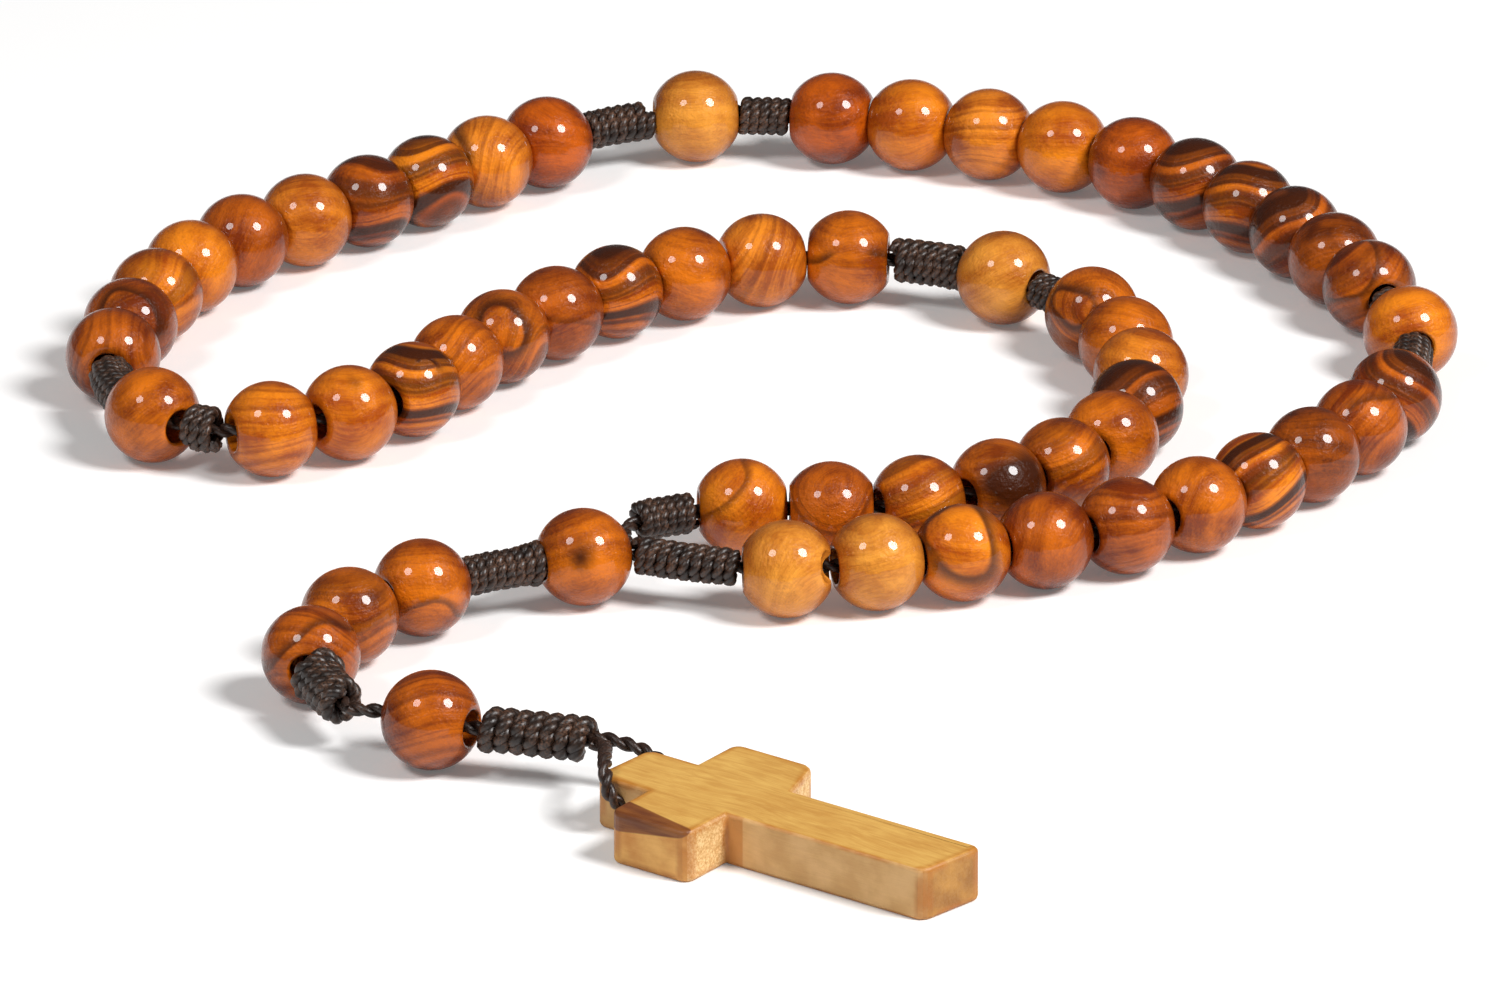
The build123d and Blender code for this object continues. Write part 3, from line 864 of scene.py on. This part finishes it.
# tone, figure, tilt in degrees, and for some beads one dark ring of its own:
# (how far across and up its middle lies, its radius, its width, all in mm, and its strength)
no_ring = (0, 0, 20, 1, 0)
woods = {
    "junction_bead": ("amber", "plain", 10, (-0.2, 0.2, 0, 1.8, 1.0)),
    "hail_mary_bead_1": ("amber", "plain", 5, (0.4, -9.2, 7.7, 0.6, 0.7)),
    "hail_mary_bead_2": ("amber", "streaked", 20, (2.2, 2.0, 0, 2.2, 0.6)),
    "hail_mary_bead_3": ("brown", "bands", -20, (2.6, -4.4, 6.6, 0.9, 0.8)),
    "pendant_our_father_bead": ("brown", "bands", 4), "our_father_bead_1": ("orange", "plain", 10),
    "our_father_bead_2": ("pale", "plain", 0), "our_father_bead_3": ("amber", "plain", 30),
    "our_father_bead_4": ("pale", "plain", 20),
    "decade_1": [("pale", "plain", 60), ("pale", "plain", 0),
                 ("orange", "plain", 0, (-0.2, 1.0, 2.9, 1.3, 0.85)), ("brown", "plain", 70),
                 ("brown", "bands", -5),
                 ("amber", "plain", 60), ("orange", "striped", 30), ("umber", "plain", 0),
                 ("brown", "bands", 60, (3.0, -3.4, 6.0, 1.0, 0.7)), ("brown", "striped", -40)],
    "decade_2": [("brown", "streaked", 30, (-3.6, 2.6, 4.0, 0.8, 0.8)), ("umber", "plain", 0),
                 ("brown", "striped", 30), ("amber", "striped", 0), ("brown", "striped", 10),
                 ("russet", "plain", 0), ("orange", "plain", 0), ("gold", "bands", 0), ("orange", "plain", 0),
                 ("russet", "plain", 0)],
    "decade_3": [("russet", "plain", 0), ("gold", "bands", 80, (-9.4, 0, 7.6, 1.2, 0.8)),
                 ("orange", "striped", 10), ("brown", "striped", 8), ("gold", "plain", 0),
                 ("brown", "plain", 80), ("orange", "plain", 60), ("orange", "streaked", 40),
                 ("brown", "eye", 0, (0.2, 0.3, 2.6, 0.9, 0.9)), ("brown", "bands", 80)],
    "decade_4": [("orange", "bands", 3), ("orange", "plain", 0, (0.3, 2.5, 0, 1.4, 0.5)),
                 ("orange", "striped", 10, (1.0, 1.8, 0.8, 1.4, 1.0)), ("amber", "bands", 30),
                 ("amber", "eye", 20, (0.3, 0.4, 2.1, 1.4, 0.9)),
                 ("brown", "plain", 0, (0, -8.4, 7.9, 0.6, 0.5)),
                 ("amber", "striped", 5), ("amber", "plain", 0), ("gold", "bands", 80),
                 ("amber", "plain", 0, (0, -12, 12.2, 1.0, 0.8))],
    "decade_5": [("amber", "eye", 60, (-1.6, 0.4, 1.5, 1.0, 0.9)), ("amber", "plain", 0),
                 ("gold", "plain", 0), ("umber", "striped", 30), ("amber", "plain", 0),
                 ("amber", "streaked", 35), ("amber", "bands", 0, (1.8, 0.2, 0, 4.8, 1.6)),
                 ("orange", "streaked", 25), ("brown", "rings", 0),
                 ("orange", "plain", 50, (-3.2, 3.0, 3.4, 0.8, 0.6))],
}


def wood_of(name):
    """The wood listed for a bead."""
    if name in woods:
        return woods[name]
    decade, number = name.split("_bead_")
    return woods[decade][int(number) - 1]


print("woods picked:", sum(len(w) if isinstance(w, list) else 1 for w in woods.values()))

# %% [markdown]
# ## How long each bead is
# Beads cut by hand differ a little in length, and on the string they sit end to end. So a bead is made as
# long as its neighbours leave room for. Where the string bends, the flat ends would meet at their inner
# rims first, and that is taken off the room. One length for all would leave gaps in the straight
# stretches.

# %% A bead's length
longest_bead = 7.25 * mm
least_gap = 0.03 * mm
# the radius of a long bead's flat end, and how near a bead's middle has to be to count as a neighbour
flat_end_radius = 1.7 * mm
neighbours_within = 9 * mm
bead_places = {}


def own_length(middle, bore_way):
    """How long a bead can be before its ends meet its neighbours."""
    room = longest_bead
    for other, other_way, *_ in bead_places.values():
        apart = (other - middle).length
        if 0 < apart < neighbours_within:
            bend = acos(min(1, abs(bore_way.dot(other_way))))
            room = min(room, apart - 2 * flat_end_radius * tan(bend / 2) - least_gap)
    return max(bead_length, room)


print("beads are", bead_length / mm, "to", longest_bead / mm, "mm long")

# %% [markdown]
# ## A chipped mouth
# One bead's mouth has lost a splinter of wood beside the bore. A chip could be cut with a boolean, but
# pushing points is gentler on the mesh: those inside a ball at the rim sink along the bore as far as
# the ball's wall. They move in one direction only, so the faces can't fold over each other, as they
# could in a free push.

# %% Chip
def chip_mouth(bead, length, way, out, past, radius):
    """Cut a ball out of the rim of a bead's mouth, on the end and the side that the way points to."""
    end = 1 if way.z > 0 else -1
    ball = way.xy.normalized() * out
    ball_middle = Vector((ball.x, ball.y, end * (length / 2 + past)))
    # the mesh is made finer a little further out than the ball reaches
    near = [edge for edge in bead.edges
            if all((corner.co - ball_middle).length < 1.3 * radius for corner in edge.verts)]
    bmesh.ops.subdivide_edges(bead, edges=near, cuts=2, use_grid_fill=True)
    for corner in bead.verts:
        inside = radius ** 2 - (corner.co.xy - ball).length_squared
        if inside > 0:
            deepest = length / 2 + past - inside ** 0.5
            if corner.co.z * end > deepest:
                corner.co.z = end * deepest


# how far from the bore and how far past the end the ball's middle lies, and its radius
chips = {"decade_1_bead_1": (2.4 * mm, 0.9 * mm, 1.9 * mm)}
chip_edge_angle = radians(45)
print("chipped beads:", list(chips))

# %% [markdown]
# ## A bead with its own wood
# The wood's pattern is written to each bead's mesh as it is seen in the tree, so it stays with the bead
# when the bead turns. It could be read from Object coordinates instead, but then every bead would show
# the same stretch of one trunk. Attributes are lists with one value for each point of the mesh, and
# any material can read them by their name.

# %% Bead mesh
# how far apart in the tree two beads are cut, in mm, and how much lighter or darker one may be
tree_step = 37.0
tone_spread = 0.06


def write_layer(mesh, name, kind, values, domain="POINT"):
    """An attribute on a mesh."""
    key = {"FLOAT": "value", "FLOAT_VECTOR": "vector", "FLOAT_COLOR": "color"}[kind]
    mesh.attributes.new(name, kind, domain).data.foreach_set(key, values)


def bead_mesh(name, middle, bore_way, order):
    """A bead's mesh in its place, with its own wood."""
    tone, figure, tilt, *marks = wood_of(name)
    across, rise, *ring = marks[0] if marks else no_ring
    contrast, streaks, thin_lines, spacing, offset, end_on = figures[figure]
    length = own_length(middle, bore_way)
    turned = turned_bead(length)
    turn = bore_way.to_track_quat("Z", "Y").to_matrix()
    if name in chips:
        # the chip faces the viewer, at the end towards the next bead
        following = (bead_places["decade_1_bead_2"][0] - middle).normalized()
        chip_mouth(turned, length, turn.inverted() @ (toward_viewer + following), *chips[name])
    mesh = mesh_of_bmesh(name, turned)
    mesh.shade_smooth()
    if name in chips:
        mesh.set_sharp_from_angle(angle=chip_edge_angle)
    mesh.transform(Matrix.Translation(middle) @ turn.to_4x4())
    # the tree's own directions: across the view, towards the viewer, and up, tilted in the view
    right = Vector((1, 0, 0))
    up_in_view = toward_viewer.cross(right).normalized()
    tilted = Matrix.Rotation(radians(tilt), 3, toward_viewer)
    right, view_up = tilted @ right, tilted @ up_in_view
    to_side, to_viewer, to_top = offset
    if end_on:
        rows, heart = (right, view_up, toward_viewer), Vector((to_side, to_top, to_viewer))
    else:
        rows, heart = (toward_viewer, view_up, right), Vector((to_viewer, to_top, to_side))
    shift = Vector((0, 0, order * tree_step))
    places, mark_places = [], []
    for vertex in mesh.vertices:
        at = (vertex.co - middle) / mm
        seen = Vector([at.dot(row) for row in rows])
        places.extend(seen - heart + shift)
        mark_places.extend((at.x - across, at.dot(up_in_view) - rise, 0))
    write_layer(mesh, "grain", "FLOAT_VECTOR", places)
    write_layer(mesh, "mark", "FLOAT_VECTOR", mark_places)
    count = len(mesh.vertices)
    lift = 1 + tone_spread * noise.noise((order * 5.3, 0.7, 0.0))
    for label, code in zip(("light_wood", "dark_wood"), tones[tone]):
        write_layer(mesh, label, "FLOAT_COLOR", ([c * lift for c in paint(code)[:3]] + [1.0]) * count)
    write_layer(mesh, "figure", "FLOAT_VECTOR", [contrast, streaks, spacing] * count)
    write_layer(mesh, "ring", "FLOAT_VECTOR", ring * count)
    write_layer(mesh, "lines", "FLOAT", [thin_lines] * count)
    return mesh


print("pattern layers: grain, mark, light_wood, dark_wood, figure, ring, lines")

# %% [markdown]
# ## Placing the beads
# Every bead that can spin has a joint at its middle with the bore as its axis. The third decade's ten
# beads are one node, so their places are read from its solids instead: the middle of each solid, and the
# direction of its bore from the cord's line beside it. All the places are gathered before the first
# bead is made, because each bead's length depends on its neighbours.

# %% Beads
for joint in frame["joints"]:
    if joint.get("continuous"):
        child = joint["child"]
        bead_places[child] = (Vector(joint["pos_m"]), Vector(joint["axis"]), child, child)
third_decade = []
for corners in separate_solids("decade_3_beads"):
    cloud = np.array([tuple(corner) for corner in corners])
    middle = (cloud.min(0) + cloud.max(0)) / 2
    along, _ = lines["loop"].nearest(middle)
    third_decade.append((along, middle))
third_decade.sort(key=lambda item: item[0])
for number, (along, middle) in enumerate(third_decade, 1):
    side, rise = lines["loop"].cross(along)
    way = Vector(np.cross(side, rise))
    bead_places[f"decade_3_bead_{number}"] = (Vector(middle), way, "loop", "decade_3_beads")
for order, (name, (middle, way, body, node)) in enumerate(sorted(bead_places.items()), 1):
    large = "father" in name
    piece(f"{name}_wood", bead_mesh(name, middle, way, order), body,
          large_bead_wood if large else bead_wood, node)
print("beads placed:", len(bead_places))

# %% [markdown]
# ## The cross
# The cross is sawn from one flat board, so it is an outline pulled up into a slab. The outline's
# sizes come from the CAD node, and the slight skews of the saw cuts, in millimetres, are written beside
# them. The outer corners are rubbed rounder than the arrises, so they are bevelled first and wider.
# The flat faces are inset, so that the worn colour along the edges has a narrow strip of surface to
# fade out in.

# %% Cross shape
top_end, foot_end, arm_side = board_low[0], board_high[0], board_high[1]
foot_skew, arm_skew, top_skew = 1.0, 1.5, 0.4
# each corner with whether it is an outer one
outline = [
    (top_end, -shaft_side, True), (bar_start, -shaft_side, False), (bar_start, -arm_side, True),
    (bar_end, -arm_side, True), (bar_end, -shaft_side, False), (foot_end - foot_skew, -shaft_side, True),
    (foot_end, shaft_side, True), (bar_end + arm_skew, shaft_side, False), (bar_end, arm_side, True),
    (bar_start, arm_side, True), (bar_start, shaft_side, False), (top_end + top_skew, shaft_side, True),
]
corner_round = 0.95 * mm
arris_round = 0.36 * mm
worn_band = 0.5 * mm
# faces larger than the first are flat ones, and inside its worn band each keeps more than the second
flat_face, inner_face = 8 * mm * mm, 5 * mm * mm


def sawn_board():
    """The board, lying with the bore's middle over the origin, with how near an edge each point is."""
    bm = bmesh.new()
    corners = [bm.verts.new((x * mm, y * mm, 0)) for x, y, _ in outline]
    outer_spots = {(round(v.co.x, 6), round(v.co.y, 6)) for v, c in zip(corners, outline) if c[2]}
    base = bm.faces.new(corners)
    pulled = bmesh.ops.extrude_face_region(bm, geom=[base])["geom"]
    risen = [item for item in pulled if isinstance(item, bmesh.types.BMVert)]
    bmesh.ops.translate(bm, vec=(0, 0, board_thickness * mm), verts=risen)
    bmesh.ops.recalc_face_normals(bm, faces=bm.faces[:])
    upright = [edge for edge in bm.edges if abs(edge.verts[0].co.z - edge.verts[1].co.z) > mm
               and (round(edge.verts[0].co.x, 6), round(edge.verts[0].co.y, 6)) in outer_spots]
    round_edges(bm, upright, corner_round, 4)
    sharp = [edge for edge in bm.edges if edge.calc_face_angle() > sharp_angle]
    round_edges(bm, sharp, arris_round, 3)
    flats = [face for face in bm.faces if face.calc_area() > flat_face]
    bmesh.ops.inset_individual(bm, faces=flats, thickness=worn_band)
    edge = bm.verts.layers.float.new("edge")
    for vertex in bm.verts:
        vertex[edge] = 1.0
    for face in bm.faces:
        if face.calc_area() > inner_face:
            for vertex in face.verts:
                vertex[edge] = 0.0
    return bm


board_bm = sawn_board()
print("rounded corners:", sum(c[2] for c in outline), "faces:", len(board_bm.faces))

# %% [markdown]
# The hole goes through the top arm from side to side. A boolean with a cylinder is the simple way
# into a flat side, and here its rim is hidden by the cord. The cutter is only needed for a moment,
# and it is removed once the modifier's result has been taken over as the board's own mesh.

# %% Hole through the top arm
bore_diameter = 1.4 * mm
cutter_bm = bmesh.new()
bmesh.ops.create_cone(cutter_bm, cap_ends=True, segments=24, radius1=bore_diameter / 2,
                      radius2=bore_diameter / 2, depth=4 * shaft_side * mm)
bmesh.ops.rotate(cutter_bm, verts=cutter_bm.verts, cent=(0, 0, 0), matrix=Matrix.Rotation(pi / 2, 3, "X"))
bmesh.ops.translate(cutter_bm, verts=cutter_bm.verts, vec=(0, 0, bore_height * mm))
cutter = placed("cutter", mesh_of_bmesh("cutter", cutter_bm))
blank = placed("blank", mesh_of_bmesh("blank", board_bm))
drill = blank.modifiers.new("drill", "BOOLEAN")
drill.operation = "DIFFERENCE"
drill.solver = "EXACT"
drill.object = cutter
depsgraph = bpy.context.evaluated_depsgraph_get()
cross_mesh = bpy.data.meshes.new_from_object(blank.evaluated_get(depsgraph), depsgraph=depsgraph)
cross_mesh.name = "cross_board"
bpy.data.objects.remove(cutter)
bpy.data.objects.remove(blank)
print("board faces with the hole:", len(cross_mesh.polygons), "attributes:",
      [layer.name for layer in cross_mesh.attributes])

# %% [markdown]
# ## Sawn and rubbed wood
# The cross is paler than the beads and only rubbed, not lacquered. Its grain runs along the shaft.
# Handling has burnished the edges to orange, the cuts across the grain show speckled end grain, and
# one corner of an arm holds a wedge of red-brown heartwood. The wedge is a plane through the board, so
# it runs over the edge from one face to the next without a seam, as real heartwood does. A painted
# picture would have to be matched at every edge.

# %% Cross material
def plane_mask(tree, place, corners, softness):
    """1 on the far side of the plane through three places, in millimetres."""
    first, second, third = (Vector(corner) for corner in corners)
    normal = (second - first).cross(third - first).normalized()
    reach = vector_calc(tree, "DOT_PRODUCT", place, tuple(normal))
    return fade(tree, reach, normal.dot(first) - softness, normal.dot(first) + softness)


def two_tones(tree, value, low, high, first, second):
    """A colour that runs from one paint to another with a value."""
    return mix(tree, fade(tree, value, low, high), paint(first), paint(second))


heart_wedge = [(bar_start, -5.9, board_thickness), (bar_start, -arm_side, 2.7),
               (bar_end + 0.1, -arm_side + 0.7, board_thickness)]
# how far along the shaft, in mm, the strip beside the near arm runs that is painted darker: overcut wood, and
# painted shade in the corner
overcut_shade_strip = 1.6


def board_material():
    """Rubbed olive wood with burnished ends, a sawn near side, worn edges and a wedge of heartwood."""
    material, tree, shader = new_material("cross wood")
    place = attribute(tree, "place")
    facing_along, facing_across, _ = parts_of(tree, attribute(tree, "facing"))
    along, aside, _ = parts_of(tree, place)
    wood = add_node(tree, "ShaderNodeGroup", node_tree=olive_wood, inputs={
        "Place": attribute(tree, "grain"), "Light": paint("DDB05C"), "Dark": paint("BE863A"),
        "Streak": paint("A8702E"), "Contrast": 0.25, "Streaks": 0.0, "Lines": 0.15, "Spacing": 0.3,
        "Bend": 2.0, "Mottle": 1.0,
    })
    speckle = noise_in(tree, place, 5.0, 3.0, 0.7)[0]
    cut_face = two_tones(tree, speckle, 0.38, 0.6, "CE9C5C", "EECB92")
    cut_across = fade(tree, calc(tree, "ABSOLUTE", facing_along), 0.5, 0.8)
    colour = mix(tree, cut_across, wood.outputs["Colour"], cut_face)
    # short fibres along the board, fine enough to read as wood and not as stripes
    hairs = noise_in(tree, vector_calc(tree, "MULTIPLY", place, (0.3, 2.4, 2.4)), 1.0, 3.0)[0]
    hair_share = calc(tree, "MULTIPLY", fade(tree, hairs, 0.45, 0.7), 0.35)
    colour = mix(tree, hair_share, colour, paint("B0762E"))
    # the end of the foot is burnished by handling
    clouds = noise_in(tree, place, 0.35, 4.0)[0]
    burnished = two_tones(tree, clouds, 0.3, 0.7, "905A1A", "C08838")
    at_foot = calc(tree, "MULTIPLY", cut_across, fade(tree, along, foot_end - 3, foot_end - 2))
    colour = mix(tree, calc(tree, "MULTIPLY", at_foot, 0.9), colour, burnished)
    # the near side is dull from the saw, and the strip beside the near arm is painted darker: the saw's
    # overcut there, and painted shade in the corner under the arm
    near = fade(tree, calc(tree, "MULTIPLY", facing_across, -1.0), 0.5, 0.8)
    on_arm = fade(tree, calc(tree, "ABSOLUTE", aside), shaft_side + 1, shaft_side + 1.5)
    dull = two_tones(tree, clouds, 0.35, 0.65, "C79A64", "DDB27C")
    arm_face = two_tones(tree, clouds, 0.3, 0.7, "C88038", "F0B868")
    colour = mix(tree, calc(tree, "MULTIPLY", near, 0.75), colour, mix(tree, on_arm, dull, arm_face))
    # the darker strip beside the near arm: the overcut, with painted shade in the corner
    strip_end = bar_end + overcut_shade_strip
    past_strip = fade(tree, along, strip_end - 0.08, strip_end + 0.08)
    strip = calc(tree, "MULTIPLY", fade(tree, along, bar_end - 0.2, bar_end - 0.1),
                 calc(tree, "SUBTRACT", 1.0, past_strip))
    strip_share = calc(tree, "MULTIPLY", calc(tree, "MULTIPLY", near, strip), 0.8)
    colour = mix(tree, strip_share, colour, paint("C0803E"))
    # rubbed edges, patchy as hands leave them
    patches = noise_in(tree, place, 0.45, 3.0)[0]
    worn = calc(tree, "MULTIPLY", attribute(tree, "edge", "Fac"), fade(tree, patches, 0.25, 0.65))
    colour = mix(tree, calc(tree, "MULTIPLY", worn, 0.75), colour, paint("B06818"))
    # heartwood with its own darker rim
    streaky = noise_in(tree, vector_calc(tree, "MULTIPLY", place, (0.25, 1.0, 1.6)), 1.1, 4.0)[0]
    heart_colour = two_tones(tree, streaky, 0.3, 0.75, "683412", "8E5420")
    heart = plane_mask(tree, place, heart_wedge, 0.06)
    deeper = plane_mask(tree, place, [(x, y + 0.12, z - 0.3) for x, y, z in heart_wedge], 0.12)
    colour = mix(tree, heart, colour, mix(tree, deeper, paint("4E220A"), heart_colour))
    tree.links.new(colour, shader.inputs["Base Color"])
    gloss = calc(tree, "SUBTRACT", 0.62, calc(tree, "MULTIPLY", worn, 0.2))
    tree.links.new(gloss, shader.inputs["Roughness"])
    height = calc(tree, "ADD", calc(tree, "MULTIPLY", wood.outputs["Height"], 0.4), speckle)
    bump = add_node(tree, "ShaderNodeBump", {"Height": height, "Strength": 0.35, "Distance": 0.08 * mm})
    tree.links.new(bump.outputs[0], shader.inputs["Normal"])
    return material


cross_wood = board_material()
print("cross material has", len(cross_wood.node_tree.nodes), "nodes")

# %% [markdown]
# ## Finishing the cross
# The board is moved to its place only now. Before that its points are written down as they lie in the
# board's own frame, so the grain runs along the shaft whichever way the cross lies on the table. The
# flat faces stay flat in the light and the rounded edges are shaded smooth, and that is set face by
# face.

# %% Cross piece
# where the tree's heart lies from the bore, across and up, in mm
heart_across, heart_up = 14, 22
# faces smaller than this belong to the rounded edges
flat_enough = 1.2 * mm * mm
points = cross_mesh.vertices
write_layer(cross_mesh, "place", "FLOAT_VECTOR", [n / mm for point in points for n in point.co])
write_layer(cross_mesh, "grain", "FLOAT_VECTOR",
            [n for point in points
             for n in (point.co.y / mm + heart_across, point.co.z / mm + heart_up, point.co.x / mm)])
write_layer(cross_mesh, "facing", "FLOAT_VECTOR", [n for face in cross_mesh.polygons for n in face.normal],
            "FACE")
cross_mesh.transform(cross_frame)
for face in cross_mesh.polygons:
    square = abs(face.normal.z) < 0.001 or abs(face.normal.z) > 0.999
    face.use_smooth = not (square and face.area > flat_enough)
piece("cross_board", cross_mesh, "cross", cross_wood, "cross")
print("cross points:", len(cross_mesh.vertices))

# %% [markdown]
# ## Table
# The rosary is shown on a plain white table, which is one large square. Its white is lifted a little
# for rays that come from the camera or a reflection, so it runs out to plain white while still taking
# the shadows. More light would whiten it as well, but it would also bleach the beads.

# %% Table
table_half_width = 3.0
table_bm = bmesh.new()
bmesh.ops.create_grid(table_bm, x_segments=1, y_segments=1, size=table_half_width)
table = placed("table", mesh_of_bmesh("table", table_bm))
table_white, tree, shader = new_material("table white")
shader.inputs["Base Color"].default_value = (0.92, 0.915, 0.91, 1)
shader.inputs["Roughness"].default_value = 0.9
rays = add_node(tree, "ShaderNodeLightPath")
seen = calc(tree, "MAXIMUM", rays.outputs["Is Camera Ray"], rays.outputs["Is Glossy Ray"])
seen = calc(tree, "MAXIMUM", seen, rays.outputs["Is Transmission Ray"])
lift = calc(tree, "MULTIPLY", seen, 0.12)
glow = add_node(tree, "ShaderNodeEmission", {"Color": (1, 1, 1, 1), "Strength": lift})
both = add_node(tree, "ShaderNodeAddShader", {0: shader.outputs[0], 1: glow.outputs[0]})
tree.links.new(both.outputs[0], tree.nodes["Material Output"].inputs["Surface"])
table.data.materials.append(table_white)
print("table is", 2 * table_half_width, "m wide")

# %% [markdown]
# ## Lamps and sky
# Two soft lamps stand to the right and left, as a small product studio has them, and a pale even sky
# fills the shade. Each bead shows both lamps as a bright spot in its lacquer, so their sizes are the
# sizes of those spots. A sky alone would light the wood too, but then the lacquer would look dull.

# %% Lamps and sky
world = bpy.data.worlds.new("sky")
world.use_nodes = True
world.node_tree.nodes["Background"].inputs["Color"].default_value = (1.0, 0.99, 0.98, 1)
world.node_tree.nodes["Background"].inputs["Strength"].default_value = 0.1
scene.world = world
scene.view_settings.view_transform = "Standard"


def soft_lamp(name, way, distance, size, power):
    """A round lamp that shines at the middle of the table from a direction."""
    data = bpy.data.lights.new(name, "AREA")
    data.shape = "DISK"
    data.size = size
    data.energy = power
    lamp = placed(name, data)
    way = Vector(way).normalized()
    lamp.location = way * distance
    lamp.rotation_euler = (-way).to_track_quat("-Z", "Y").to_euler()
    print(name, "is", size, "m wide and has", power, "W")


soft_lamp("right_lamp", way=(0.58, -0.32, 0.76), distance=0.9, size=0.32, power=9.0)
soft_lamp("left_lamp", way=(-0.5, -0.38, 0.77), distance=0.9, size=0.26, power=2.6)
